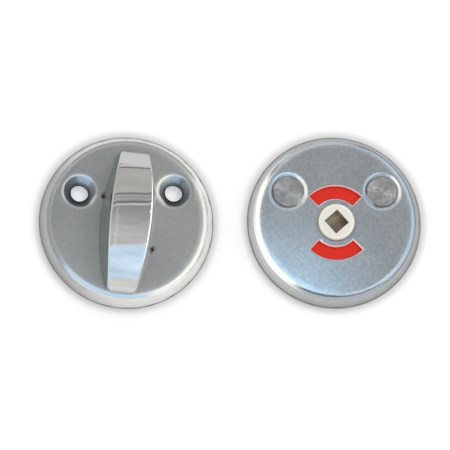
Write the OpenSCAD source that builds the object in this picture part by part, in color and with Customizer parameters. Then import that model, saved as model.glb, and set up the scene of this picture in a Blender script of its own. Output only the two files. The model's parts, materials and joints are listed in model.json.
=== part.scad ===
// Bathroom thumb turn lock, taken off the door and laid on its two backs.
// The inside half carries the thumb turn, the outside half the red and white indicator.
// Each half is drawn round its own turning axis, with the face of the door at height 0
// and its visible side up, and is then put in its place beside the other half.

/* [Rose plates] */
// Gap between the rims of the two halves as they lie
halves_gap = 10; // [2:1:60]
// Thickness of the pressed steel sheet
sheet_t = 1; // [0.8:0.1:1.4]
// Radius inside the bend of the shoulder
shoulder_in_r = 1.4; // [0.6:0.1:2]
// Lean of the skirt away from upright, in degrees
skirt_deg = 20; // [8:1:26]
// Flat left between the screw dimples and the shoulder
border_w = 0.4; // [0.2:0.1:6]
// How far the turning axis lies below the middle of the plate
axis_drop = 1.1; // [0:0.1:2]

/* [Windows] */
// Radial width of each indicator window at the face
window_w = 4.7; // [3.2:0.1:5.2]
// Face left between the middle hole and the windows
window_land = 1.3; // [1:0.1:2.5]
// Half the angle that each window spans, in degrees
window_half_deg = 46.6; // [30:0.2:50]
// Width of the bevel round each window
bevel_w = 0.35; // [0.1:0.05:0.6]
// Depth of the bevel round each window
bevel_d = 0.4; // [0.1:0.05:0.7]

/* [Screw dimples] */
// Spacing of the two fixings
screw_spacing = 28; // [24:0.5:33]
// Radius of the hole through each dimple
screw_hole_r = 2.6; // [2.2:0.1:3.2]
// Radius where the rounded lip of a dimple begins
lip_r = 5.5; // [4.8:0.1:6.8]
// Radius inside the bend of the lip
lip_in_r = 0.5; // [0.2:0.05:0.8]
// Room between a disc and the back of a dimple
dimple_room = 0.5; // [0.2:0.1:2]
// Play between a dimple's back and its seat in the base
seat_gap = 0.1; // [0.05:0.05:0.3]

/* [Height stack, from the door face up] */
// Room left under the end of each boss
end_gap = 0.25; // [0.1:0.05:0.6]
// Boss left beyond the circlip groove
clip_edge = 0.35; // [0.2:0.05:0.8]
// Thickness of the circlips
clip_t = 0.55; // [0.4:0.05:0.9]
// Thickness of the flat washers
washer_t = 0.4; // [0.3:0.05:0.8]
// Play between faces that slide
slip_gap = 0.05; // [0.03:0.01:0.1]
// Thickness of the floor of the bases
floor_t = 0.8; // [0.6:0.1:1.4]
// Height that the wave washers work in
spring_h = 0.9; // [0.7:0.1:1.5]
// Thickness of the two discs
disc_t = 0.9; // [0.6:0.1:1.4]
// Room between the discs and the plates
lid_gap = 0.4; // [0.3:0.05:0.8]

/* [Turning fit] */
// Width of the square sockets
socket_w = 5.2; // [4.6:0.1:6.2]
// Wall of a boss outside the corners of its socket
boss_wall = 0.9; // [0.7:0.1:1.5]
// Depth that each key flat is cut into its boss
flat_cut = 0.65; // [0.4:0.05:0.9]
// Depth of the circlip grooves
groove_d = 0.4; // [0.3:0.05:0.6]
// Running clearance of the bosses in the bases
floor_fit = 0.08; // [0.04:0.01:0.1]
// Running clearance of the turn's shank in its bush
bush_fit = 0.05; // [0.03:0.01:0.1]
// Clearance round keyed and pressed-in pieces
key_fit = 0.03; // [0.02:0.01:0.06]
// Travel of each half, in degrees
travel_deg = 90; // [60:5:90]

/* [Thumb turn] */
// Length of the thumb turn
turn_l = 43; // [34:0.5:50]
// Width at the foot, in the middle
turn_mid_w = 16.6; // [14:0.2:20]
// Width of the two ends
turn_end_w = 8.6; // [6:0.2:10]
// Width of the top, in the middle
turn_top_w = 12.2; // [10:0.1:13.5]
// Height of the arch from its underside
turn_h = 12.6; // [9:0.2:16]
// Height of the two ends
turn_end_h = 0.9; // [0.7:0.1:2]
// Rounding of the long top edges
turn_edge_r = 0.7; // [0.3:0.1:1.5]
// Rounding of the four corners in plan
turn_corner_r = 1.4; // [0.5:0.1:2]
// Rounding where the arch runs out at each end
turn_tip_r = 0.4; // [0.2:0.05:0.6]
// Room between the thumb turn and the plate
turn_lift = 0.4; // [0.35:0.05:0.8]
// Depth of the turn's socket from the end of its boss
turn_socket_d = 9; // [7:0.5:12]
// Step from the turn's boss out to its shank
shank_step = 0.4; // [0.3:0.05:0.6]
// Lean of the turn as it was left, in degrees
turn_lean_deg = -6.6; // [-10:0.2:10]

/* [Turn bush] */
// Thickness of the bush's flange
bush_flange_t = 0.25; // [0.2:0.01:0.3]
// Width of the flange outside the middle hole
bush_flange_w = 1; // [0.6:0.1:1.4]

/* [Release hub] */
// Step from the hub's boss out to its collar
hub_step = 0.85; // [0.8:0.05:1.4]
// Gap between the hub and the plate
hub_gap = 0.15; // [0.1:0.05:0.3]
// Height of the hub above the plate
hub_proud = 1.8; // [1:0.1:3]
// Rounding of the hub's front edge
hub_edge_r = 0.78; // [0.4:0.02:1]
// Depth of the release socket from the front
release_d = 3.2; // [2:0.1:4]
// Thickness of the web between the hub's two sockets
web_t = 1; // [0.6:0.1:1.5]
// Lean of the release socket as it was left, in degrees
socket_lean_deg = -4; // [-10:0.5:10]

/* [Discs] */
// Overlap of the discs past the windows, inside their bevels
disc_lap = 0.3; // [0.2:0.05:0.35]
// Thickness of the coloured sectors
sector_t = 0.15; // [0.1:0.01:0.2]
// Disc left bare outside and inside the sectors
sector_inset = 0.1; // [0.05:0.01:0.15]
// Radial width of the stop tab
tab_w = 1.2; // [0.8:0.1:1.6]
// Disc outside the stop tab
tab_inset = 1.2; // [0.8:0.1:1.6]
// Half the angle that the stop tab spans, in degrees
tab_half_deg = 8; // [4:1:12]
// Depth that the stop tab reaches into the base
tab_bite = 0.8; // [0.5:0.1:1]
// Room round the stop tab in its slot
tab_room = 0.3; // [0.2:0.05:0.5]

/* [Bases] */
// Room round a disc in its base
disc_room = 0.5; // [0.3:0.1:1]
// Wall between the stop slot and the back recess
recess_wall = 0.8; // [0.5:0.1:1.2]
// Clearance of the bases inside the skirts
base_fit = 0.1; // [0.05:0.05:0.3]
// Thickness of the walls left by coring
core_wall = 1.4; // [1:0.1:2]
// Thickness of the web over the cored pockets
core_web = 1.2; // [0.8:0.1:1.6]
// Clearance of the bases round a screw
screw_room = 0.2; // [0.1:0.05:0.4]
// Number of cored pockets below the axis
low_cores = 6; // [3:1:8]
// Number of cored pockets above the axis
high_cores = 2; // [1:1:3]

/* [Springs, washers and clips] */
// Thickness of the wave washers
wave_t = 0.3; // [0.2:0.05:0.4]
// Number of waves
waves = 3; // [2:1:4]
// Room between a boss and its wave washer
wave_room = 0.7; // [0.4:0.1:1]
// Room between a flat washer and the recess round it
washer_room = 0.4; // [0.2:0.1:0.6]
// Width of a circlip outside its boss
clip_w = 1.2; // [0.8:0.1:1.4]
// Width of the circlip's mouth
clip_mouth = 3; // [2:0.2:4]
// Radius of the circlip's ears
ear_r = 0.85; // [0.7:0.05:1]
// Radius of the holes in the ears
ear_hole_r = 0.4; // [0.3:0.05:0.5]

/* [Threaded inserts] */
// Inset of an insert's head from the lip of its dimple
head_inset = 1; // [0.9:0.1:1.6]
// Height of the head's upright edge
head_edge = 0.15; // [0.1:0.05:0.5]
// Clearance of an insert's shank in its hole
insert_fit = 0.1; // [0.05:0.05:0.2]
// Radius of the thread's bore
thread_r = 1.65; // [1.2:0.05:1.8]
// Thickness of metal in front of the thread
head_front = 1.2; // [0.8:0.1:1.6]

/* [Hidden] */

$fn = 96;
// Overrun of every cut, and overlap of shapes that are joined
over = 0.2;
// Steps along a bent edge of the sheet
bend_steps = 8;
// Facets of small round holes and ears
small_fn = 32;

// Heights of the stack
clip_z = end_gap + clip_edge;
washer_z = clip_z + clip_t;
floor_z = washer_z + washer_t + slip_gap;
floor_top = floor_z + floor_t;
disc_z = floor_top + spring_h;
disc_top = disc_z + disc_t;
sheet_z = disc_top + lid_gap;
rose_h = sheet_z + sheet_t;
turn_z = rose_h + turn_lift;

// Radii round the turning axis
boss_r = socket_w / sqrt(2) + boss_wall;
flat_x = boss_r - flat_cut;
groove_r = boss_r - groove_d;
shank_r = boss_r + shank_step;
hub_r = boss_r + hub_step;
hole_r = hub_r + hub_gap;
window_in_r = hole_r + window_land;
window_out_r = window_in_r + window_w;
disc_r = window_out_r - bevel_w + disc_lap;
tab_out_r = disc_r - tab_inset;
tab_in_r = tab_out_r - tab_w;
recess_r = tab_in_r - tab_room - recess_wall;

// Dimples: both faces of the cone are 45 degree lines, height = radius + offset
lip_out_r = lip_in_r + sheet_t;
lip_z = rose_h - lip_out_r;
cone_face = lip_z - lip_r + sqrt(2) * lip_out_r;
cone_back = lip_z - lip_r + sqrt(2) * lip_in_r;

// Places of the two fixings, seen from the turning axis
fixing_reach = disc_r + dimple_room + disc_top - cone_back;
fixing_y = sqrt(pow(fixing_reach, 2) - pow(screw_spacing / 2, 2));
fixing_deg = atan2(fixing_y, screw_spacing / 2);

// Section of the plate, seen from the middle of the plate
flat_r = norm([screw_spacing / 2, fixing_y - axis_drop]) + lip_r + border_w;
shoulder_r = shoulder_in_r + sheet_t;
skirt_top = rose_h - shoulder_r + shoulder_r * sin(skirt_deg);
rose_r = flat_r + shoulder_r * cos(skirt_deg) + skirt_top * tan(skirt_deg);
halves_apart = 2 * rose_r + halves_gap;

// Window through the sheet, inside its bevels
window_mid_r = (window_in_r + window_out_r) / 2;
open_half_deg = window_half_deg - atan(bevel_w / window_mid_r);
sector_half_deg = 45;

// Where the stop tabs stand at rest
tab_deg = 225;
tab_play_deg = 2;

// Thumb turn: circles through the middle and the ends, in plan and from the side
turn_half_l = turn_l / 2;
plan_sag = (turn_mid_w - turn_end_w) / 2;
plan_r = (pow(turn_half_l, 2) + pow(plan_sag, 2)) / (2 * plan_sag);
arch_sag = turn_h - turn_end_h;
arch_r = (pow(turn_half_l, 2) + pow(arch_sag, 2)) / (2 * arch_sag);
draft = (turn_mid_w - turn_top_w) / (2 * turn_h);
turn_steps = 14;
corner_steps = 5;
edge_steps = 5;

// Points of an arc round a centre, both angles included
function arc_points(centre, r, from, to, steps) =
    [for (i = [0:steps]) let (a = from + (to - from) * i / steps) centre + r * [cos(a), sin(a)]];

module inside_place() translate([-halves_apart / 2, -axis_drop, 0]) children();

module outside_place() translate([halves_apart / 2, -axis_drop, 0]) children();

module at_fixings(sides = [-1, 1]) {
    for (side = sides) translate([side * screw_spacing / 2, fixing_y, 0]) children();
}

// A ring about the axis, standing on height z
module ring(out_r, in_r, z, h) {
    translate([0, 0, z]) difference() {
        cylinder(r = out_r, h = h);
        translate([0, 0, -over]) cylinder(r = in_r, h = h + 2 * over);
    }
}

// Part of a ring about the axis, from one angle on
module ring_part(out_r, in_r, z, h, from_deg, span_deg) {
    rotate([0, 0, from_deg]) rotate_extrude(angle = span_deg)
        translate([in_r, z]) square([out_r - in_r, h]);
}

module socket(z, depth, lean) {
    rotate([0, 0, lean]) translate([-socket_w / 2, -socket_w / 2, z]) cube([socket_w, socket_w, depth]);
}

// Boss with two key flats, its circlip groove and a shoulder at the disc
module keyed_boss(lean) {
    difference() {
        translate([0, 0, end_gap]) cylinder(r = boss_r, h = disc_top - end_gap + over);
        for (side = [0, 180]) rotate([0, 0, lean + side])
            translate([flat_x, -boss_r, end_gap - over]) cube([boss_r, 2 * boss_r, disc_top - end_gap + over]);
        ring(boss_r + over, groove_r, clip_z - key_fit, clip_t + 2 * key_fit);
    }
}

// Hole in a disc that fits the boss and its flats
module key_hole(lean) {
    rotate([0, 0, lean]) intersection() {
        translate([0, 0, disc_z - over]) cylinder(r = boss_r + key_fit, h = disc_t + 2 * over);
        translate([-flat_x - key_fit, -boss_r - over, disc_z - over])
            cube([2 * (flat_x + key_fit), 2 * (boss_r + over), disc_t + 2 * over]);
    }
}

// Pressed plate: shoulder and skirt revolved, dimples formed, middle hole and windows cut
module rose() {
    difference() {
        union() {
            difference() {
                translate([0, axis_drop, 0]) rotate_extrude() polygon(rose_section());
                at_fixings() translate([0, 0, sheet_z - over]) cylinder(r = lip_r, h = sheet_t + 2 * over);
            }
            at_fixings() rotate_extrude() polygon(dimple_section());
        }
        translate([0, 0, sheet_z - over]) cylinder(r = hole_r, h = sheet_t + 2 * over);
        for (side = [90, 270]) rotate([0, 0, side]) window_cut();
    }
}

function rose_section() = concat(
    [[rose_r, 0]],
    arc_points([flat_r, rose_h - shoulder_r], shoulder_r, skirt_deg, 90, bend_steps),
    [[0, rose_h], [0, sheet_z]],
    arc_points([flat_r, rose_h - shoulder_r], shoulder_in_r, 90, skirt_deg, bend_steps),
    [[rose_r - sheet_t / cos(skirt_deg), 0]]);

function dimple_section() = concat(
    [[screw_hole_r, screw_hole_r + cone_back], [screw_hole_r, screw_hole_r + cone_face]],
    arc_points([lip_r, lip_z], lip_out_r, 135, 90, bend_steps),
    [[lip_r + over, rose_h], [lip_r + over, sheet_z]],
    arc_points([lip_r, lip_z], lip_in_r, 90, 135, bend_steps));

// A window about the +X direction, bevelled at the face on all four sides
module window_cut() {
    rotate([0, 0, -open_half_deg]) rotate_extrude(angle = 2 * open_half_deg) polygon([
        [window_in_r, rose_h + over], [window_in_r, rose_h], [window_in_r + bevel_w, rose_h - bevel_d],
        [window_in_r + bevel_w, sheet_z - over], [window_out_r - bevel_w, sheet_z - over],
        [window_out_r - bevel_w, rose_h - bevel_d], [window_out_r, rose_h], [window_out_r, rose_h + over]]);
    for (side = [-1, 1]) rotate([0, 0, side * open_half_deg]) translate([window_in_r, 0, 0])
        rotate([90, 0, 90]) linear_extrude(height = window_w) polygon([
            [-side * over, rose_h - bevel_d], [0, rose_h - bevel_d], [side * bevel_w, rose_h],
            [side * bevel_w, rose_h + over], [-side * over, rose_h + over]]);
}

// Moulded base that fills the plate: disc pocket, floor, back recess, stop slot and cored back
module base(slot_from_deg) {
    pocket_r = disc_r + disc_room;
    core_in_r = pocket_r + core_wall;
    core_out_r = flat_r - core_wall - axis_drop;
    core_h = sheet_z - core_web;
    post_deg = asin((lip_r + over) / fixing_reach);
    slot_span = travel_deg + 2 * (tab_half_deg + tab_play_deg);
    difference() {
        translate([0, axis_drop, 0]) rotate_extrude() polygon(base_section());
        translate([0, 0, floor_top]) cylinder(r = pocket_r, h = sheet_z - floor_top + over);
        translate([0, 0, -over]) cylinder(r = recess_r, h = floor_z + over);
        cylinder(r = boss_r + floor_fit, h = floor_top + over);
        ring_part(tab_out_r + tab_room, tab_in_r - tab_room, floor_top - tab_bite - tab_room,
                  tab_bite + tab_room + over, slot_from_deg, slot_span);
        at_fixings() rotate_extrude() polygon(seat_section());
        core_row(fixing_deg + post_deg, 180 - fixing_deg - post_deg, high_cores, core_out_r, core_in_r, core_h);
        core_row(180 - fixing_deg + post_deg, 360 + fixing_deg - post_deg, low_cores, core_out_r, core_in_r, core_h);
    }
}

// Cored pockets between two angles, with a wall between each two
module core_row(from_deg, to_deg, count, out_r, in_r, h) {
    wall_deg = 2 * asin(core_wall / (in_r + out_r));
    pitch = (to_deg - from_deg) / count;
    for (i = [0:count - 1])
        ring_part(out_r, in_r, -over, h + over, from_deg + i * pitch + wall_deg / 2, pitch - wall_deg);
}

function base_section() = let (
    foot_r = rose_r - sheet_t / cos(skirt_deg) - base_fit,
    bend = [flat_r, rose_h - shoulder_r] + shoulder_in_r * [cos(skirt_deg), sin(skirt_deg)])
    [[0, 0], [foot_r, 0], bend - [base_fit, 0], [flat_r - base_fit, sheet_z], [0, sheet_z]];

// Clearance hole and 45 degree seat under a dimple
function seat_section() = let (
    r = screw_hole_r + screw_room,
    offset_z = cone_back - sqrt(2) * seat_gap,
    top = sheet_z + over)
    [[0, -over], [r, -over], [r, r + offset_z], [top - offset_z, top], [0, top]];

// Disc keyed to its boss, with a stop tab formed down from it
module disc(key_lean, tab_at_deg) {
    difference() {
        translate([0, 0, disc_z]) cylinder(r = disc_r, h = disc_t);
        key_hole(key_lean);
    }
    ring_part(tab_out_r, tab_in_r, floor_top - tab_bite, disc_z - floor_top + tab_bite + over,
              tab_at_deg - tab_half_deg, 2 * tab_half_deg);
}

// One coloured field on the indicator disc, about the given direction
module sector(centre_deg) {
    ring_part(disc_r - sector_inset, hole_r + sector_inset, disc_top, sector_t,
              centre_deg - sector_half_deg, 2 * sector_half_deg);
}

// Wave washer: a flat ring whose height follows a sine round the axis
module wave_washer() {
    in_r = boss_r + wave_room;
    out_r = tab_in_r - tab_room - wave_room / 2;
    mid_z = (floor_top + disc_z) / 2;
    swing = (spring_h - wave_t) / 2 - slip_gap;
    steps = 24 * waves;
    points = [for (i = [0:steps - 1])
        let (a = 360 * i / steps, z = mid_z + swing * sin(waves * a))
        for (corner = [[in_r, -1], [out_r, -1], [out_r, 1], [in_r, 1]])
            [corner[0] * cos(a), corner[0] * sin(a), z + corner[1] * wave_t / 2]];
    faces = [for (i = [0:steps - 1]) let (next = (i + 1) % steps) for (k = [0:3]) let (up = (k + 1) % 4)
        [4 * i + k, 4 * i + up, 4 * next + up, 4 * next + k]];
    polyhedron(points, faces);
}

module flat_washer() {
    ring(recess_r - washer_room, boss_r + floor_fit, washer_z, washer_t);
}

// Circlip with two eared ends at its mouth
module circlip() {
    out_r = boss_r + clip_w;
    ear_deg = 2 * asin((clip_mouth + 2 * ear_r) / (4 * out_r));
    difference() {
        union() {
            translate([0, 0, clip_z]) cylinder(r = out_r, h = clip_t);
            for (side = [-1, 1]) rotate([0, 0, 90 + side * ear_deg])
                translate([out_r, 0, clip_z]) cylinder(r = ear_r, h = clip_t, $fn = small_fn);
        }
        translate([0, 0, clip_z - over]) cylinder(r = groove_r + key_fit, h = clip_t + 2 * over);
        translate([-clip_mouth / 2, 0, clip_z - over]) cube([clip_mouth, recess_r, clip_t + 2 * over]);
        for (side = [-1, 1]) rotate([0, 0, 90 + side * ear_deg])
            translate([out_r, 0, clip_z - over]) cylinder(r = ear_hole_r, h = clip_t + 2 * over, $fn = small_fn);
    }
}

// Threaded insert: a flat countersunk head on the dimple and a shank bored from the back
module insert() {
    head_r = lip_r - head_inset;
    shank = screw_hole_r - insert_fit;
    seat = cone_face + key_fit;
    head_top = head_r + seat + head_edge;
    difference() {
        rotate_extrude() polygon([[0, 0], [shank, 0], [shank, shank + seat], [head_r, head_r + seat],
                                  [head_r, head_top], [0, head_top]]);
        translate([0, 0, -over]) cylinder(r = thread_r, h = head_top - head_front + over, $fn = small_fn);
    }
}

// Stations along the turn: place along it, loss of half width and loss of height
function turn_stations() = let (
    straight = turn_half_l - turn_corner_r,
    corner = [for (i = [1:corner_steps]) let (a = 90 * i / corner_steps)
        [straight + turn_corner_r * sin(a), turn_corner_r * (1 - cos(a)), turn_tip_r * (1 - cos(a))]])
    concat([for (i = [corner_steps - 1:-1:0]) [-corner[i][0], corner[i][1], corner[i][2]]],
           [for (i = [-turn_steps:turn_steps]) [straight * i / turn_steps, 0, 0]],
           corner);

// Section of the turn across one station: drafted sides and rounded top edges
function turn_section(station) = let (
    y = station[0],
    half = turn_mid_w / 2 - plan_r + sqrt(pow(plan_r, 2) - pow(y, 2)) - station[1],
    h = turn_h - arch_r + sqrt(pow(arch_r, 2) - pow(y, 2)) - station[2],
    r = min(turn_edge_r, h / 2),
    middle = half - draft * (h - r) - r * sqrt(1 + pow(draft, 2)),
    side = [for (p = arc_points([middle, turn_z + h - r], r, atan(draft), 90, edge_steps)) [p[0], y, p[1]]])
    concat([[-half, y, turn_z], [half, y, turn_z]], side,
           [for (i = [edge_steps:-1:0]) [-side[i][0], y, side[i][2]]]);

// The arch of the turn, lofted through its sections
module turn_arch() {
    stations = turn_stations();
    count = len(stations);
    sides = len(turn_section(stations[0]));
    points = [for (station = stations) each turn_section(station)];
    walls = [for (i = [0:count - 2]) for (k = [0:sides - 1]) let (up = (k + 1) % sides)
        [sides * i + k, sides * i + up, sides * (i + 1) + up, sides * (i + 1) + k]];
    near_end = [[for (k = [sides - 1:-1:0]) k]];
    far_end = [[for (k = [0:sides - 1]) sides * (count - 1) + k]];
    polyhedron(points, concat(walls, near_end, far_end));
}

module inside_rose() {
    color("silver") inside_place() rose();
}

module inside_base() {
    color([0.16, 0.16, 0.17]) inside_place() base(tab_deg + turn_lean_deg - tab_half_deg - tab_play_deg);
}

module thumb_turn() {
    color([0.8, 0.83, 0.88]) inside_place() rotate([0, 0, turn_lean_deg]) difference() {
        union() {
            turn_arch();
            translate([0, 0, disc_top]) cylinder(r = shank_r, h = turn_z - disc_top + over);
            keyed_boss(0);
        }
        socket(end_gap - over, turn_socket_d + over, 0);
    }
}

module turn_bush() {
    color([0.85, 0.85, 0.8]) inside_place() {
        ring(hole_r + bush_flange_w, shank_r + bush_fit, rose_h, bush_flange_t);
        ring(hole_r - key_fit, shank_r + bush_fit, sheet_z, sheet_t);
    }
}

module turn_disc() {
    color([0.62, 0.42, 0.3]) inside_place() rotate([0, 0, turn_lean_deg]) disc(0, tab_deg);
}

module turn_wave_washer() {
    color([0.6, 0.6, 0.62]) inside_place() wave_washer();
}

module turn_washer() {
    color([0.7, 0.7, 0.72]) inside_place() flat_washer();
}

module turn_circlip() {
    color([0.3, 0.3, 0.32]) inside_place() rotate([0, 0, turn_lean_deg]) circlip();
}

module outside_rose() {
    color("silver") outside_place() rose();
}

module outside_base() {
    color([0.16, 0.16, 0.17]) outside_place() base(tab_deg - travel_deg - tab_half_deg - tab_play_deg);
}

// Plastic hub: rounded front edge, release socket in front and spindle socket behind
module release_hub() {
    socket_deg = 45 + socket_lean_deg;
    hub_top = rose_h + hub_proud;
    web_z = hub_top - release_d - web_t;
    color([0.95, 0.93, 0.87]) outside_place() difference() {
        union() {
            rotate_extrude() polygon(concat([[0, disc_top], [hub_r, disc_top]],
                arc_points([hub_r - hub_edge_r, hub_top - hub_edge_r], hub_edge_r, 0, 90, bend_steps),
                [[0, hub_top]]));
            keyed_boss(socket_deg);
        }
        socket(hub_top - release_d, release_d + over, socket_deg);
        socket(end_gap - over, web_z - end_gap + over, socket_deg);
    }
}

module indicator_disc() {
    color([0.9, 0.9, 0.88]) outside_place() disc(45 + socket_lean_deg, tab_deg);
}

module red_sector_upper() {
    color([0.84, 0.2, 0.15]) outside_place() sector(90);
}

module red_sector_lower() {
    color([0.84, 0.2, 0.15]) outside_place() sector(270);
}

module white_sector_left() {
    color([0.97, 0.97, 0.97]) outside_place() sector(180);
}

module white_sector_right() {
    color([0.97, 0.97, 0.97]) outside_place() sector(0);
}

module insert_left() {
    color([0.62, 0.64, 0.66]) outside_place() at_fixings([-1]) insert();
}

module insert_right() {
    color([0.62, 0.64, 0.66]) outside_place() at_fixings([1]) insert();
}

module hub_wave_washer() {
    color([0.6, 0.6, 0.62]) outside_place() wave_washer();
}

module hub_washer() {
    color([0.7, 0.7, 0.72]) outside_place() flat_washer();
}

module hub_circlip() {
    color([0.3, 0.3, 0.32]) outside_place() circlip();
}

inside_rose();
inside_base();
thumb_turn();
turn_bush();
turn_disc();
turn_wave_washer();
turn_washer();
turn_circlip();
outside_rose();
outside_base();
release_hub();
indicator_disc();
red_sector_upper();
red_sector_lower();
white_sector_left();
white_sector_right();
insert_left();
insert_right();
hub_wave_washer();
hub_washer();
hub_circlip();
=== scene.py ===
"""Looks of a bathroom thumb turn lock: two pressed steel plates side by side on a white floor,
the inside one with a polished thumb turn, the outside one with a plastic hub and red windows.
Places and lengths are in metres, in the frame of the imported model."""

import json
import math
from functools import cached_property

import bmesh
import bpy
from mathutils import Matrix, Vector


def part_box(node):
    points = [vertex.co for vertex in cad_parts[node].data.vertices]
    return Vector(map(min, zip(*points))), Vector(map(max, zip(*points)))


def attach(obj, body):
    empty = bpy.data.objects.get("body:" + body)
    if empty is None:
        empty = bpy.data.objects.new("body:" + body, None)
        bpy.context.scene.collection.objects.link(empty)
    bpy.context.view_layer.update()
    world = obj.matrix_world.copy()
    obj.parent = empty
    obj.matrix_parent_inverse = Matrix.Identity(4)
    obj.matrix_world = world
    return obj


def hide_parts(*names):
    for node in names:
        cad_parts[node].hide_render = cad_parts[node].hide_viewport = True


MM = 0.001

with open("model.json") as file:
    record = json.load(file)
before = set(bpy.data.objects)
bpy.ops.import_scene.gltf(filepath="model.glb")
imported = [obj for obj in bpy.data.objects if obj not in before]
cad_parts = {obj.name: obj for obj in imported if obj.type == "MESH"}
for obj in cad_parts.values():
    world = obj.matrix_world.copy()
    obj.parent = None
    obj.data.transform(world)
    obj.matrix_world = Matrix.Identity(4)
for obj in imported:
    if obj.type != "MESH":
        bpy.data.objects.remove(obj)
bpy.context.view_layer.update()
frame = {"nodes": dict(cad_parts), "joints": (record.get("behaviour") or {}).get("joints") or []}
nodes = frame["nodes"]
axes = {joint["child"]: Vector(joint["pos_m"]) for joint in frame["joints"]}


def middle_of(node):
    low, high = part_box(node)
    return (low + high) / 2


# Sizes that the looks follow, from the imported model
rose_low, rose_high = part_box("outside_rose")
ROSE_R = (rose_high.x - rose_low.x) / 2
FACE_Z = rose_high.z
FIXINGS = [middle_of(f"insert_{side}") - axes["indicator"] for side in ("left", "right")]

# Bends up to this angle are shaded as smooth, and sharper ones as edges
SMOOTH_DEG = 32


# Materials

# Numbers of the sockets that a Mix node uses for colours
MIX_AMOUNT, MIX_DARK, MIX_LIGHT, MIX_RESULT = 0, 6, 7, 2


class Tree:
    """A node tree that short calls add to. Any value may be a socket, which is then linked."""

    def __init__(self, tree):
        self.tree = tree

    @cached_property
    def coordinates(self):
        return self.node("ShaderNodeTexCoord").outputs

    @property
    def place(self):
        return self.coordinates["Object"]

    def put(self, socket, value):
        if isinstance(value, bpy.types.NodeSocket):
            self.tree.links.new(value, socket)
        else:
            socket.default_value = value

    def node(self, kind, inputs=None, **settings):
        node = self.tree.nodes.new(kind)
        for name, value in settings.items():
            setattr(node, name, value)
        for key, value in (inputs or {}).items():
            self.put(node.inputs[key], value)
        return node

    def math(self, operation, *values, **settings):
        inputs = dict(enumerate(values))
        return self.node("ShaderNodeMath", inputs, operation=operation, **settings).outputs[0]

    def vector_math(self, operation, *values, output="Vector"):
        inputs = dict(enumerate(values))
        return self.node("ShaderNodeVectorMath", inputs, operation=operation).outputs[output]

    def upright(self, vector):
        """The part of a vector along Z."""
        return self.node("ShaderNodeSeparateXYZ", {0: vector}).outputs["Z"]

    def radius_from(self, centre):
        """Distance from an upright axis through centre."""
        offset = self.vector_math("SUBTRACT", self.place, (centre.x, centre.y, 0))
        level = self.vector_math("MULTIPLY", offset, (1, 1, 0))
        return self.vector_math("LENGTH", level, output="Value")

    def noise(self, size, stretch=(1, 1, 1), detail=2.0):
        """Noise with grains of about size metres, drawn out along an axis with a small stretch."""
        place = self.vector_math("MULTIPLY", self.place, stretch)
        inputs = {"Vector": place, "Scale": 1 / size, "Detail": detail}
        return self.node("ShaderNodeTexNoise", inputs).outputs["Fac"]

    def waves(self, value, pitch):
        """From -1 to 1 and back in each pitch."""
        return self.math("SINE", self.math("MULTIPLY", value, 2 * math.pi / pitch))

    def add_up(self, base, *shares):
        """The base, and each value times its share."""
        for value, share in shares:
            base = self.math("MULTIPLY_ADD", value, share, base)
        return base

    def blend(self, value, start, end, low=0.0, high=1.0, curve="SMOOTHSTEP"):
        """low where value is at start, high where it is at end, and the curve between."""
        inputs = {"Value": value, "From Min": start, "From Max": end, "To Min": low, "To Max": high}
        return self.node("ShaderNodeMapRange", inputs, interpolation_type=curve).outputs["Result"]

    def mix_color(self, amount, dark, light):
        """Colours are given as three numbers or as a socket; amounts may run past 0 and 1."""
        mix = self.node("ShaderNodeMix", {MIX_AMOUNT: amount}, data_type="RGBA",
                        clamp_factor=False, clamp_result=True)
        for key, color in ((MIX_DARK, dark), (MIX_LIGHT, light)):
            is_socket = isinstance(color, bpy.types.NodeSocket)
            self.put(mix.inputs[key], color if is_socket else (*color, 1))
        return mix.outputs[MIX_RESULT]


class Look(Tree):
    """A principled material."""

    def __init__(self, name, color, metallic=0.0, roughness=0.5, **values):
        self.material = bpy.data.materials.new(name)
        self.material.use_nodes = True
        super().__init__(self.material.node_tree)
        self.shader = self.tree.nodes["Principled BSDF"]
        self.vary("Base Color", (*color, 1))
        self.vary("Metallic", metallic)
        self.vary("Roughness", roughness)
        for socket, value in values.items():
            self.vary(socket.replace("_", " "), value)

    def vary(self, socket, value):
        self.put(self.shader.inputs[socket], value)

    def vary_color(self, amount, dark, light):
        self.vary("Base Color", self.mix_color(amount, dark, light))

    def vary_roughness(self, noise, low, high, noise_low=0.3, noise_high=0.7):
        """From low to high over the usual range of noise."""
        self.vary("Roughness", self.blend(noise, noise_low, noise_high, low, high))

    def bump(self, height, depth):
        """Bump from heights of 0 to 1 that stand for a relief of depth metres."""
        inputs = {"Height": height, "Distance": depth, "Strength": 1.0}
        if self.shader.inputs["Normal"].is_linked:
            inputs["Normal"] = self.shader.inputs["Normal"].links[0].from_socket
        self.vary("Normal", self.node("ShaderNodeBump", inputs).outputs["Normal"])


# Zones of a plate, each from where its mark is 0 to where it is 1: by height for the face, by
# radius about the plate's middle for the rim, about the axis for the windows, and about each
# fixing for its dimple, the lip round it and its hole
FACE_ZONE = (FACE_Z - 0.25 * MM, FACE_Z - 0.02 * MM)
RIM_ZONE = (ROSE_R - 2.3 * MM, ROSE_R - 4.9 * MM)
WINDOW_ZONE = (13 * MM, 12.5 * MM)
DIMPLE_ZONE = (4.9 * MM, 4.5 * MM)
LIP_ZONE = (4.5 * MM, 6.1 * MM)
HOLE_ZONE = (3.3 * MM, 2.8 * MM)
RIM_FALL = 0.2 * MM
PRESS_RING_PITCH = 0.6 * MM
LATHE_RING_PITCH = 0.85 * MM
MIRROR = (0.86, 0.87, 0.865)


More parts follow.
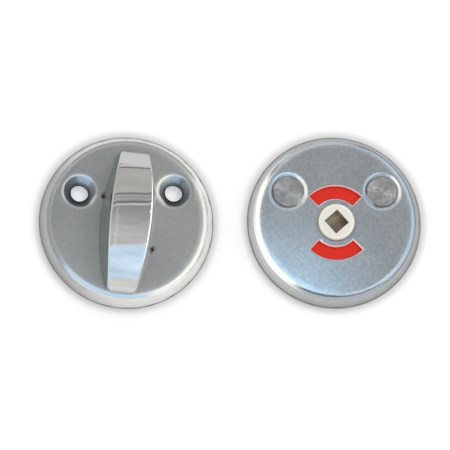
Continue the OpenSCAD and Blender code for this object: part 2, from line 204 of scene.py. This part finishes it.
def satin_steel(name, half, axis, coarseness, lip_fall):
    """Pressed steel: a satin face drawn in a little towards its rim and dimples, glossier bends,
    dull cut edges round the windows lightened as a painted highlight, and dimples that the press
    left duller and faintly ringed, darkened with painted shade, most of all round their holes."""
    look = Look(name, (0.62, 0.63, 0.635), metallic=1.0)
    face = look.blend(look.upright(look.place), *FACE_ZONE)
    rim = look.blend(look.radius_from(middle_of(f"{half}_rose")), *RIM_ZONE)
    bevel = look.math("MULTIPLY", look.blend(look.radius_from(axis), *WINDOW_ZONE),
                      look.math("SUBTRACT", 1.0, face))
    dimple, hole, rings, lip = 0.0, 0.0, 0.0, 1.0
    for fixing in FIXINGS:
        radius = look.radius_from(axis + fixing)
        here = look.blend(radius, *DIMPLE_ZONE)
        dimple = look.math("MAXIMUM", dimple, here)
        hole = look.math("MAXIMUM", hole, look.blend(radius, *HOLE_ZONE))
        rings = look.add_up(rings, (look.waves(radius, PRESS_RING_PITCH), here))
        lip = look.math("MULTIPLY", lip, look.blend(radius, *LIP_ZONE))
    cloud = look.noise(8 * MM, detail=3.0)
    speckle = look.math("SUBTRACT", look.noise(0.75 * MM, detail=3.0), 0.5)
    speckle = look.math("MULTIPLY", speckle, face)
    grain = look.math("MULTIPLY", look.noise(0.35 * MM, detail=3.0), face)
    brush = look.math("MULTIPLY", look.noise(0.2 * MM, stretch=(0.05, 1, 1)), face)
    look.vary("Roughness", look.add_up(0.17, (face, 0.19), (cloud, 0.06), (dimple, 0.09),
                                       (bevel, 0.36)))
    # Colour: painted highlight lightens the cut edges round the windows, and painted shade darkens
    # the dimples, most of all round their holes
    tone = look.add_up(cloud, (speckle, 1.6 * coarseness), (dimple, -1.5), (hole, -1.6),
                       (rings, 0.6), (bevel, 2.2))
    look.vary_color(tone, (0.56, 0.575, 0.585), (0.68, 0.685, 0.68))
    # Less metal on the window cut edges, so that their painted highlight shows brighter
    look.vary("Metallic", look.add_up(1.0, (bevel, -0.55)))
    look.bump(rim, RIM_FALL)
    look.bump(lip, lip_fall)
    look.bump(rings, 0.006 * MM)
    look.bump(grain, 0.014 * MM * coarseness)
    look.bump(brush, 0.003 * MM)
    return look.material


def polished_chrome(side_roughness=0.12):
    """Mirror plating that rolls a little and has hairline scratches, duller on the steep sides,
    whose colour is darker there as painted shade.
    """
    look = Look("polished_chrome", MIRROR, metallic=1.0, roughness=0.035)
    top = look.blend(look.upright(look.coordinates["Normal"]), 0.3, 0.6)
    # Painted shade: the steep sides get a darker colour than the top
    look.vary_color(top, (0.4, 0.43, 0.44), MIRROR)
    look.bump(look.noise(7 * MM, detail=1.0), 0.02 * MM)
    look.bump(look.noise(1.5 * MM, detail=1.0), 0.002 * MM)
    scratch = look.noise(0.12 * MM, stretch=(1, 0.04, 1), detail=1.0)
    polish = look.blend(scratch, 0.35, 0.75, 0.03, 0.07)
    off_top = look.add_up(side_roughness, (top, -side_roughness))
    look.vary("Roughness", look.math("ADD", polish, off_top))
    return look.material


def turned_steel(name, centre):
    """Flat head faced on a lathe: rings whose pitch wanders, and the fan of light they make."""
    look = Look(name, (0.6, 0.615, 0.62), metallic=1.0, roughness=0.34, Anisotropic=0.85)
    tangent = look.node("ShaderNodeTangent", direction_type="RADIAL", axis="Z")
    look.vary("Tangent", tangent.outputs[0])
    wander = look.add_up(look.radius_from(centre), (look.noise(2.4 * MM, detail=1.0), 1.3 * MM))
    rings = look.add_up(0.5, (look.waves(wander, LATHE_RING_PITCH), 0.5))
    look.bump(rings, 0.005 * MM)
    blotch = look.blend(look.noise(1.3 * MM), 0.35, 0.65)
    tone = look.add_up(look.math("MULTIPLY", blotch, 0.6), (rings, 0.4))
    look.vary_color(tone, (0.5, 0.49, 0.46), (0.72, 0.72, 0.74))
    look.vary_roughness(look.noise(0.8 * MM), 0.28, 0.4)
    return look.material


def moulded_skin(look, roughness, grain=0.15 * MM, depth=0.002 * MM):
    look.vary_roughness(look.noise(0.8 * MM), roughness - 0.05, roughness + 0.06)
    look.bump(look.noise(grain), depth)


def moulded_plastic(name, dark, light, roughness, **skin):
    """Plastic with a fine moulded skin and slightly uneven colour."""
    look = Look(name, light, roughness=roughness)
    look.vary_color(look.noise(2.5 * MM, detail=3.0), dark, light)
    moulded_skin(look, roughness, **skin)
    return look.material


def ivory_plastic(hub, roughness=0.36, shaded_side=(0.45, -0.9, 0)):
    """Moulded ivory plastic, with a lighter, warmer painted highlight where the hub's top edge
    rounds off, and painted shade low on its side next to the plate. Its release socket is darkened
    inside with painted shade, most of all towards its shaded side."""
    low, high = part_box(hub)
    middle = (low + high) / 2
    hub_r = (high.x - low.x) / 2
    look = Look("ivory_plastic", (0.87, 0.85, 0.78), roughness=roughness,
                Subsurface_Weight=0.05, Subsurface_Scale=0.5 * MM)
    height = look.upright(look.place)
    radius = look.radius_from(middle)

    # The release socket, darkened inside as painted shade: near the middle, below the top edge and
    # above the spindle socket
    near_middle = look.blend(radius, 3.9 * MM, 3.7 * MM)
    above_web = look.blend(height, FACE_Z - 3 * MM, FACE_Z - 2 * MM)
    below_edge = look.blend(height, high.z - 0.02 * MM, high.z - 0.12 * MM)
    socket = look.math("MULTIPLY", look.math("MULTIPLY", near_middle, above_web), below_edge)
    depth = look.blend(height, high.z - 0.05 * MM, high.z - 1.6 * MM)
    along = look.vector_math("DOT_PRODUCT", look.place, shaded_side, output="Value")
    from_middle = look.math("SUBTRACT", along, middle.dot(shaded_side))
    lit = look.blend(from_middle, 0.4 * MM, -2.0 * MM)
    deep_shade = look.mix_color(lit, (0.25, 0.2, 0.14), (0.46, 0.4, 0.3))
    dark = look.mix_color(depth, (0.5, 0.45, 0.37), deep_shade)

    # Painted highlight: lighter, warmer colour where the top edge rounds off
    rounding_highlight = look.blend(radius, hub_r - 0.95 * MM, hub_r - 0.7 * MM)
    # Painted shade: darker colour low on the side, next to the plate
    foot_shade = look.blend(height, FACE_Z + 1.3 * MM, FACE_Z - 0.2 * MM)
    tone = look.mix_color(look.noise(2.5 * MM, detail=3.0), (0.76, 0.74, 0.67), (0.82, 0.81, 0.75))
    for amount, color in ((rounding_highlight, (0.9, 0.86, 0.77)), (foot_shade, (0.55, 0.43, 0.3)), (socket, dark)):
        tone = look.mix_color(amount, tone, color)
    look.vary("Base Color", tone)
    moulded_skin(look, roughness)
    return look.material


def enamel(name, dark, light):
    """Enamel with a faint orange peel."""
    look = Look(name, light, roughness=0.42, Specular_IOR_Level=0.3)
    look.vary_color(look.noise(1.5 * MM, detail=3.0), dark, light)
    look.bump(look.noise(0.5 * MM), 0.004 * MM)
    return look.material


def plain_metal(name, dark, light, roughness):
    """Rolled or stamped metal with faint streaks."""
    look = Look(name, light, metallic=1.0, roughness=roughness)
    look.vary_color(look.noise(1.2 * MM, detail=3.0), dark, light)
    streaks = look.noise(0.2 * MM, stretch=(0.08, 1, 1))
    look.vary_roughness(streaks, roughness - 0.06, roughness + 0.08)
    look.bump(streaks, 0.003 * MM)
    return look.material


def wear(node, material):
    node.data.materials.clear()
    node.data.materials.append(material)


def shade_smooth(mesh):
    mesh.polygons.foreach_set("use_smooth", [True] * len(mesh.polygons))


def soften(node, weld_gap=0.001 * MM, big_faces_first=100):
    """Shades a node's bends as smooth and its edges as sharp, with its corners left in place."""
    mesh = node.data
    if "custom_normal" in mesh.attributes:
        mesh.attributes.remove(mesh.attributes["custom_normal"])
    shade_smooth(mesh)
    node.modifiers.new("weld", "WELD").merge_threshold = weld_gap
    node.modifiers.new("edges", "EDGE_SPLIT").split_angle = math.radians(SMOOTH_DEG)
    node.modifiers.new("normals", "WEIGHTED_NORMAL").weight = big_faces_first


# Thumb turn

TURN_L = 43 * MM
TURN_MID_W = 16.6 * MM
TURN_END_W = 8.6 * MM
TURN_TOP_W = 12.2 * MM
TURN_H = 12.6 * MM
TURN_END_H = 0.9 * MM
TURN_EDGE_R = 0.6 * MM
TURN_CORNER_R = 1.4 * MM
TURN_TIP_R = 0.4 * MM
TURN_BULGE = 0.12 * MM
TURN_LEAN_DEG = -6.6
BOSS_R = 4.577 * MM
BOSS_CHAMFER = 0.15 * MM
SHANK_R = 4.977 * MM
SHANK_OVERLAP = 0.2 * MM
GROOVE_R = 4.177 * MM
FLAT_X = 3.927 * MM
SOCKET_W = 5.2 * MM
SOCKET_D = 9 * MM


def add_loft(builder, rings):
    """Faces between rings of equally many points, and over the two ends."""
    loops = [[builder.verts.new(point) for point in ring] for ring in rings]
    count = len(loops[0])
    for near, far in zip(loops, loops[1:]):
        for i in range(count):
            j = (i + 1) % count
            builder.faces.new((near[i], near[j], far[j], far[i]))
    builder.faces.new(loops[0][::-1])
    builder.faces.new(loops[-1])


def arch_stations(straight_steps=80, corner_steps=8):
    """Places along the turn, with the width and height that its rounded ends lose there."""
    straight = TURN_L / 2 - TURN_CORNER_R
    stations = [(straight * i / straight_steps, 0.0, 0.0) for i in range(straight_steps + 1)]
    for i in range(1, corner_steps + 1):
        a = math.pi / 2 * i / corner_steps
        loss = 1 - math.cos(a)
        stations.append((straight + TURN_CORNER_R * math.sin(a), TURN_CORNER_R * loss,
                         TURN_TIP_R * loss))
    return [(-y, narrow, lower) for y, narrow, lower in stations[:0:-1]] + stations


def radius_of_arc(sagitta):
    """Radius of the arc over the turn's length that rises by the sagitta."""
    return (TURN_L**2 / 4 + sagitta**2) / (2 * sagitta)


def arch_ring(y, narrow, lower, z, side_steps=5, edge_steps=6, top_steps=12):
    """Outline of the turn across one station: drafted sides, rounded edges and a faint bulge."""
    plan_r = radius_of_arc((TURN_MID_W - TURN_END_W) / 2)
    arch_r = radius_of_arc(TURN_H - TURN_END_H)
    half = TURN_MID_W / 2 - plan_r + math.sqrt(plan_r**2 - y**2) - narrow
    height = TURN_H - TURN_BULGE - arch_r + math.sqrt(arch_r**2 - y**2) - lower
    draft = (TURN_MID_W - TURN_TOP_W) / (2 * TURN_H)
    r = min(TURN_EDGE_R, height / 2)
    inner = half - draft * (height - r) - r * math.sqrt(1 + draft**2)
    start = math.atan(draft)
    edge = []
    for i in range(edge_steps + 1):
        a = start + (math.pi / 2 - start) * i / edge_steps
        edge.append((inner + r * math.cos(a), height - r + r * math.sin(a)))
    edge_x, edge_h = edge[0]
    side = [(half + (edge_x - half) * i / side_steps, edge_h * i / side_steps)
            for i in range(side_steps)]
    right = side + edge
    full_bulge = TURN_BULGE * min(1.0, 2 * height / TURN_H)
    top = []
    for i in range(1, top_steps):
        share = 1 - 2 * i / top_steps
        top.append((inner * share, height + full_bulge * (1 - share**2)))
    left = [(-x, h) for x, h in right[::-1]]
    return [(x, y, z + h) for x, h in right + top + left]


# Radii of the parts below the arch, at an angle about the turn's axis


def shank(a):
    return SHANK_R


def boss(a, least=1e-9):
    """Round, with a flat on either side. The least cosine keeps the division from zero."""
    return min(BOSS_R, FLAT_X / max(abs(math.cos(a)), least))


def boss_tip(a):
    return boss(a) - BOSS_CHAMFER


def groove(a):
    return min(GROOVE_R, boss(a))


def square(a):
    return SOCKET_W / 2 / max(abs(math.cos(a)), abs(math.sin(a)))


def round_ring(z, radius_at, steps=96):
    """Points round the Z axis at height z, clockwise from above, so that lofts run downwards."""
    angles = [-2 * math.pi * i / steps for i in range(steps)]
    return [(radius_at(a) * math.cos(a), radius_at(a) * math.sin(a), z) for a in angles]


def build_turn():
    """The turn in one mesh: its arch, and its shank and keyed boss with the square socket."""
    low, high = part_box("thumb_turn")
    underside = high.z - TURN_H
    disc_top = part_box("turn_disc")[1].z
    clip_low, clip_high = (corner.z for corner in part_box("turn_circlip"))
    builder = bmesh.new()
    add_loft(builder, [arch_ring(*station, underside) for station in arch_stations()])
    add_loft(builder, [round_ring(z, radius_at) for z, radius_at in (
        (underside + SHANK_OVERLAP, shank), (disc_top, shank), (disc_top, boss),
        (clip_high, boss), (clip_high, groove), (clip_low, groove), (clip_low, boss),
        (low.z + BOSS_CHAMFER, boss), (low.z, boss_tip), (low.z, square),
        (low.z + SOCKET_D, square))])
    bmesh.ops.recalc_face_normals(builder, faces=builder.faces)
    lean = Matrix.Rotation(math.radians(TURN_LEAN_DEG), 4, "Z")
    turn_place = Matrix.Translation(axes["turn"].xy.to_3d()) @ lean
    bmesh.ops.transform(builder, matrix=turn_place, verts=builder.verts)
    mesh = bpy.data.meshes.new("polished_turn")
    builder.to_mesh(mesh)
    builder.free()
    shade_smooth(mesh)
    mesh.set_sharp_from_angle(angle=math.radians(SMOOTH_DEG))
    turn = bpy.data.objects.new("polished_turn", mesh)
    bpy.context.scene.collection.objects.link(turn)
    wear(turn, polished_chrome())
    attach(turn, "turn")
    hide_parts("thumb_turn")


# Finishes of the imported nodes


def finish_nodes():
    wear(nodes["inside_rose"],
         satin_steel("inside_satin_steel", "inside", axes["turn"], 1.0, 0.16 * MM))
    wear(nodes["outside_rose"],
         satin_steel("outside_satin_steel", "outside", axes["indicator"], 2.2, 0.5 * MM))
    for side in ("left", "right"):
        insert = nodes[f"insert_{side}"]
        wear(insert, turned_steel(f"turned_steel_{side}", middle_of(insert.name)))
    ivory = ivory_plastic("release_hub")
    black = moulded_plastic("black_nylon", (0.02, 0.02, 0.021), (0.035, 0.035, 0.037), 0.5,
                            grain=0.3 * MM, depth=0.006 * MM)
    white = moulded_plastic("white_nylon", (0.74, 0.73, 0.69), (0.82, 0.81, 0.78), 0.45)
    red = enamel("red_enamel", (0.7, 0.02, 0.008), (0.82, 0.028, 0.013))
    pale = enamel("white_enamel", (0.8, 0.8, 0.79), (0.87, 0.87, 0.86))
    copper = plain_metal("coppered_steel", (0.3, 0.16, 0.1), (0.62, 0.38, 0.25), 0.34)
    spring = plain_metal("spring_steel", (0.38, 0.38, 0.4), (0.5, 0.5, 0.51), 0.26)
    blackened = plain_metal("black_steel", (0.07, 0.07, 0.075), (0.14, 0.14, 0.15), 0.36)
    finishes = {
        "release_hub": ivory, "inside_base": black, "outside_base": black, "turn_bush": white,
        "red_sector_upper": red, "red_sector_lower": red, "white_sector_left": pale,
        "white_sector_right": pale, "indicator_disc": pale, "turn_disc": copper,
        "turn_wave_washer": spring, "hub_wave_washer": spring, "turn_washer": spring,
        "hub_washer": spring, "turn_circlip": blackened, "hub_circlip": blackened}
    for name, material in finishes.items():
        wear(nodes[name], material)
    for name, node in nodes.items():
        if name != "thumb_turn":
            soften(node)


# Floor, surroundings and light

# Size of the clouds that make a card's light uneven, and its shares between and in them
CLOUD_SIZE = 1 / 7
CLOUD_LOW = 0.6
CLOUD_HIGH = 1.4


def glow_material(name, color, strength, fade):
    """Uneven light for the pieces that a card is linked to; for all others the card is clear, and
    the metal doesn't throw it on to the floor. A fade gives a point to look from, a direction,
    and the leans at which the light ends and is full."""
    material = bpy.data.materials.new(name)
    material.use_nodes = True
    material.node_tree.nodes.clear()
    tree = Tree(material.node_tree)
    level = tree.blend(tree.noise(CLOUD_SIZE), 0.0, 1.0, CLOUD_LOW * strength,
                       CLOUD_HIGH * strength, curve="LINEAR")
    if fade:
        start, towards, dark, full = fade
        outwards = tree.vector_math("NORMALIZE", tree.vector_math("SUBTRACT", tree.place, start))
        lean = tree.vector_math("DOT_PRODUCT", outwards, towards, output="Value")
        level = tree.blend(lean, dark, full, 0.0, level)
    bounces = tree.node("ShaderNodeLightPath").outputs["Diffuse Depth"]
    direct = tree.math("SUBTRACT", 1.0, bounces, use_clamp=True)
    glow = tree.node("ShaderNodeEmission", {
        "Color": (*color, 1), "Strength": tree.math("MULTIPLY", level, direct)}).outputs[0]
    clear = tree.node("ShaderNodeBsdfTransparent").outputs[0]
    both = tree.node("ShaderNodeAddShader", {0: glow, 1: clear}).outputs[0]
    tree.node("ShaderNodeOutputMaterial", {"Surface": both})
    return material


def stage_object(name, mesh, material):
    item = bpy.data.objects.new(name, mesh)
    item.data.materials.append(material)
    bpy.context.scene.collection.objects.link(item)
    return item


def build_floor(size=4.0, color=0.96, mirrored_share=0.6, lift=0.1, hole_painted_light=0.3,
                hole_zone=(5 * MM, 4 * MM), painted_shadow_share=0.28, painted_shadow_reach=2.7 * MM):
    """White floor that keeps the object's shadow, with a painted shadow in its colour close round
    the two rims.
    The lift makes its open parts white in the picture, and the metal mirrors it darker. The floor
    seen through the two open screw holes has some more lift there, painted light that takes its
    shade away so that it shows nearly white."""
    mesh = bpy.data.meshes.new("floor")
    half = size / 2
    corners = [(-half, -half, 0), (half, -half, 0), (half, half, 0), (-half, half, 0)]
    mesh.from_pydata(corners, [], [(0, 1, 2, 3)])
    floor = Look("floor_white", (color, color, color), roughness=1.0, Specular_IOR_Level=0.0,
                 Emission_Color=(1, 1, 1, 1))
    path = floor.node("ShaderNodeLightPath").outputs
    gap = 1.0
    for rose in ("inside_rose", "outside_rose"):
        from_rim = floor.math("SUBTRACT", floor.radius_from(middle_of(rose)), ROSE_R)
        gap = floor.math("MINIMUM", gap, floor.math("ABSOLUTE", from_rim))
    # Painted shadow: the floor's colour is darker close round each rim
    shade = floor.blend(gap, 0.0, painted_shadow_reach, color * (1 - painted_shadow_share), color)
    mirrored = floor.add_up(1.0, (path["Is Glossy Ray"], mirrored_share - 1))
    floor.vary("Base Color", floor.math("MULTIPLY", shade, mirrored))
    # Painted light: the floor glows brighter to the camera under the open screw holes
    total = lift
    for fixing in FIXINGS:
        from_hole = floor.radius_from(axes["turn"] + fixing)
        total = floor.math("ADD", total, floor.blend(from_hole, *hole_zone, 0.0, hole_painted_light))
    floor.vary("Emission Strength", floor.math("MULTIPLY", path["Is Camera Ray"], total))
    stage_object("floor", mesh, floor.material)


def round_about(azimuth, width, low, high):
    """Directions by azimuth (0 is the viewer's side, 90 is +X) and height above the horizon."""
    def direction(u, v):
        a = math.radians(azimuth - width / 2 + width * u)
        e = math.radians(low + (high - low) * v)
        return Vector((math.sin(a) * math.cos(e), -math.cos(a) * math.cos(e), math.sin(e)))
    return direction


def overhead(side_low, side_high, tilt_low, tilt_high, turned_deg=0, slant=0, slant_reach=12):
    """Directions by how far they lean sideways to +X and tilt from straight up to +Y. The slant
    is what the tilt gains for each degree sideways, up to slant_reach of them."""
    room = Matrix.Rotation(math.radians(turned_deg), 3, "Z")

    def direction(u, v):
        side = side_low + (side_high - side_low) * u
        gain = slant * max(-slant_reach, min(slant_reach, side))
        a = math.radians(side)
        t = math.radians(tilt_low + (tilt_high - tilt_low) * v + gain)
        return room @ Vector((math.sin(a), math.cos(a) * math.sin(t), math.cos(a) * math.cos(t)))
    return direction


def ground(centre, lift, near=26.4 * MM, far=300 * MM):
    """Places on the floor round one half, by azimuth and distance from its middle."""
    def place(u, v):
        a = 2 * math.pi * u
        r = near + (far - near) * v
        return Vector((centre.x + r * math.sin(a), centre.y - r * math.cos(a), lift))
    return place


def above(centre, x_low, x_high, y_low, y_high, height=60 * MM):
    """Places on a level sheet over part of one half, by millimetres from its middle."""
    def place(u, v):
        x = x_low + (x_high - x_low) * u
        y = y_low + (y_high - y_low) * v
        return Vector((centre.x + x * MM, centre.y + y * MM, height))
    return place


def between_halves(y_low, y_high, z_low, z_high):
    """Places on an upright sheet between the two halves, by millimetres."""
    def place(u, v):
        return Vector((0, (y_low + (y_high - y_low) * u) * MM, (z_low + (z_high - z_low) * v) * MM))
    return place


def card(name, place, color, strength, lit, fade=None, steps=24):
    """A sheet of light that only the reflections of the lit pieces see."""
    grid = [i / steps for i in range(steps + 1)]
    points = [place(u, v) for u in grid for v in grid]
    faces = []
    for i in range(steps):
        for j in range(steps):
            k = i * (steps + 1) + j
            faces.append((k, k + 1, k + steps + 2, k + steps + 1))
    mesh = bpy.data.meshes.new(name)
    mesh.from_pydata(points, [], faces)
    item = stage_object(name, mesh, glow_material(name, color, strength, fade))
    item.visible_camera = False
    item.visible_diffuse = False
    item.visible_shadow = False
    item.visible_transmission = False
    item.light_linking.receiver_collection = lit


def lit_pieces(name, *pieces):
    group = bpy.data.collections.new(name)
    for piece in pieces:
        group.objects.link(bpy.data.objects[piece])
    return group


WARM = (1.0, 0.97, 0.91)
SKY = (0.58, 0.79, 1.0)
DEEP_SKY = (0.38, 0.69, 1.0)
PALE_SKY = (0.8, 0.91, 1.0)
NEUTRAL = (1.0, 1.0, 0.98)
PALE_GREEN = (0.93, 1.0, 0.95)
ORIGIN = (0, 0, 0)


def sky_cards(lit, distance, *rows, spacing=0.01):
    """Cards of a far sphere. Each lies a little further out than the one before it."""
    for i, (name, direction, color, strength, *fade) in enumerate(rows):
        far = distance * (1 + spacing * i)
        card(name, lambda u, v: far * direction(u, v), color, strength, lit, *fade)


def build_inside_cards():
    lit = lit_pieces("inside_pieces", "inside_rose")
    middle = middle_of("inside_rose").xy.to_3d()
    sky_cards(lit, 0.6,
              ("inside_ceiling", overhead(-50, 50, -35, 60), PALE_GREEN, 0.136),
              ("inside_warm_wall", round_about(75, 110, 0, 64), WARM, 0.9),
              ("inside_bright_wall", round_about(75, 110, 24, 64), WARM, 0.45),
              ("inside_sky", round_about(-22, 84, 8, 62), SKY, 1.1),
              ("inside_dim_wall", round_about(-105, 80, 2, 50), NEUTRAL, 0.3),
              ("inside_far_wall", round_about(172, 90, 2, 50), WARM, 0.36),
              ("inside_low_wall", round_about(0, 110, 0.5, 8), WARM, 1.2))
    card("inside_near_wall", above(middle, -50, 0, -60, 2), NEUTRAL, 0.1, lit)
    card("inside_floor", ground(middle, 0.1 * MM), NEUTRAL, 0.15, lit)
    card("inside_floor_sunny", ground(middle, 0.15 * MM), WARM, 0.46, lit,
         (middle, (0.8, -0.6, 0), -0.35, 0.75))
    card("inside_floor_far", ground(middle, 0.2 * MM), WARM, 0.4, lit,
         (middle, (0.3, 0.95, 0), 0.2, 0.9))


def build_outside_cards():
    lit = lit_pieces("outside_pieces", "outside_rose", "insert_left", "insert_right")
    middle = middle_of("outside_rose").xy.to_3d()
    sky_cards(lit, 0.7,
              ("outside_ceiling", overhead(-50, 50, -35, 60), WARM, 0.108),
              ("outside_warm_wall", round_about(-85, 110, 0, 60), WARM, 0.75),
              ("outside_bright_wall", round_about(-85, 110, 22, 60), WARM, 0.85),
              ("outside_sky_right", round_about(102, 104, 14, 52), SKY, 0.9),
              ("outside_sky_far", round_about(184, 52, 4, 50), PALE_SKY, 0.66),
              ("outside_low_sky", round_about(10, 76, 0, 30), SKY, 0.45),
              ("outside_low_strip", round_about(10, 76, 12, 26), SKY, 0.42),
              ("outside_glint", round_about(42, 48, 44, 56), PALE_SKY, 2.4))
    steel = lit_pieces("steel_pieces", "outside_rose")
    card("outside_near_sky", above(middle, -50, 4, -60, -4), DEEP_SKY, 1.6, steel)
    card("outside_gap", between_halves(-60, 60, 0.5, 9.5), WARM, 0.8, lit)
    card("outside_floor", ground(middle, 0.25 * MM), NEUTRAL, 0.15, lit)
    card("outside_floor_warm", ground(middle, 0.3 * MM), WARM, 0.14, lit,
         (middle, (-1, 0, 0), 0.2, 0.9))
    fans = lit_pieces("turned_pieces", "insert_left", "insert_right")
    sky_cards(fans, 0.8, ("turned_fan", overhead(12, 24, 33, 45), NEUTRAL, 5.0))


def build_turn_cards():
    """What the arch mirrors from end to end, in bands that run level across it."""
    lit = lit_pieces("turn_pieces", "polished_turn")

    def band(low, high, side_low=-60, side_high=60, shift=-3):
        return overhead(side_low, side_high, low + shift, high + shift, turned_deg=-7, slant=0.6)

    sky_cards(lit, 0.9,
              ("turn_sky", band(-78, -28.5), SKY, 0.72),
              ("turn_sky_glow", band(-66, -42), PALE_SKY, 0.12,
               (ORIGIN, (0, -0.81, 0.59), 0.976, 1.0)),
              ("turn_sill", band(-90, -78.2), WARM, 0.5),
              ("turn_frame_low", band(-28.5, -26.5), NEUTRAL, 0.5),
              ("turn_ceiling", band(-26.5, 25.5), NEUTRAL, 0.34, (ORIGIN, (0, -1, 0), -0.8, 0.45)),
              ("turn_frame_side", band(-26.5, 25.5, -2.4, -1.9), NEUTRAL, 0.13),
              ("turn_frame_high", band(25.5, 28.5), NEUTRAL, 0.4),
              ("turn_stripe_low", band(32, 36), NEUTRAL, 0.2),
              ("turn_stripe_middle", band(36, 38), NEUTRAL, 0.13),
              ("turn_stripe_high", band(38, 41.5), NEUTRAL, 0.2),
              ("turn_room", band(44, 84.8), WARM, 0.26),
              ("turn_horizon", band(87.5, 93), WARM, 0.4),
              ("turn_warm_right", round_about(95, 100, 2, 70), WARM, 1.1),
              ("turn_dim_left", round_about(-95, 80, 2, 60), NEUTRAL, 0.35))
    middle = middle_of("inside_rose").xy.to_3d()
    card("turn_floor", ground(middle, 0.35 * MM), WARM, 0.07, lit)
    card("turn_floor_near", ground(middle, 0.4 * MM), WARM, 0.12, lit,
         (middle, (0, -1, 0), 0.2, 0.9))


def build_world(seen=1.0, mirrored=0.2, daylight=0.84):
    """White to the camera; to reflections a dim room, which the cards light."""
    world = bpy.data.worlds.new("white_room")
    bpy.context.scene.world = world
    world.use_nodes = True
    tree = Tree(world.node_tree)
    path = tree.node("ShaderNodeLightPath").outputs
    strength = daylight
    for ray, amount in (("Is Glossy Ray", mirrored), ("Is Camera Ray", seen)):
        inputs = {"Factor": path[ray], "A": strength, "B": amount}
        strength = tree.node("ShaderNodeMix", inputs).outputs["Result"]
    background = world.node_tree.nodes["Background"]
    tree.put(background.inputs["Color"], (1, 1, 1, 1))
    tree.put(background.inputs["Strength"], strength)


def build_lamp(place=(0.25, 0.3, 0.75), size=0.5, energy=1.6):
    """One broad soft lamp, up and to the right, for shadows that lean down to the left."""
    data = bpy.data.lights.new("soft_lamp", "AREA")
    data.shape = "DISK"
    data.size = size
    data.energy = energy
    lamp = bpy.data.objects.new("soft_lamp", data)
    lamp.location = place
    lamp.rotation_euler = (-lamp.location).to_track_quat("-Z", "Y").to_euler()
    lamp.visible_glossy = False
    bpy.context.scene.collection.objects.link(lamp)


# Camera

PICTURE_PX = 450
PIXEL_W = 0.2965 * MM
CAMERA_AIM = Vector((-1.56 * MM, -0.6 * MM, 0))
CAMERA_DISTANCE = 2.5
CAMERA_TILT_DEG = 12.0
CAMERA_LEAN_DEG = 5.7
CAMERA_REACH = 20
SENSOR_MM = 36


def build_camera():
    """Nearly overhead, a little towards the viewer and the left, with the X axis level in the
    picture."""
    data = bpy.data.cameras.new("camera")
    data.sensor_width = SENSOR_MM
    data.lens = SENSOR_MM * CAMERA_DISTANCE / (PICTURE_PX * PIXEL_W)
    data.clip_end = CAMERA_REACH
    back = Vector((-math.tan(math.radians(CAMERA_LEAN_DEG)),
                   -math.tan(math.radians(CAMERA_TILT_DEG)), 1)).normalized()
    right = Vector((1, 0, 0))
    right = (right - right.dot(back) * back).normalized()
    camera = bpy.data.objects.new("camera", data)
    turn = Matrix((right, back.cross(right), back)).transposed().to_4x4()
    camera.matrix_world = Matrix.Translation(CAMERA_AIM + back * CAMERA_DISTANCE) @ turn
    bpy.context.scene.collection.objects.link(camera)
    bpy.context.scene.camera = camera


build_turn()
finish_nodes()
build_floor()
build_inside_cards()
build_outside_cards()
build_turn_cards()
build_world()
build_lamp()
build_camera()
bpy.context.scene.view_settings.view_transform = "Standard"
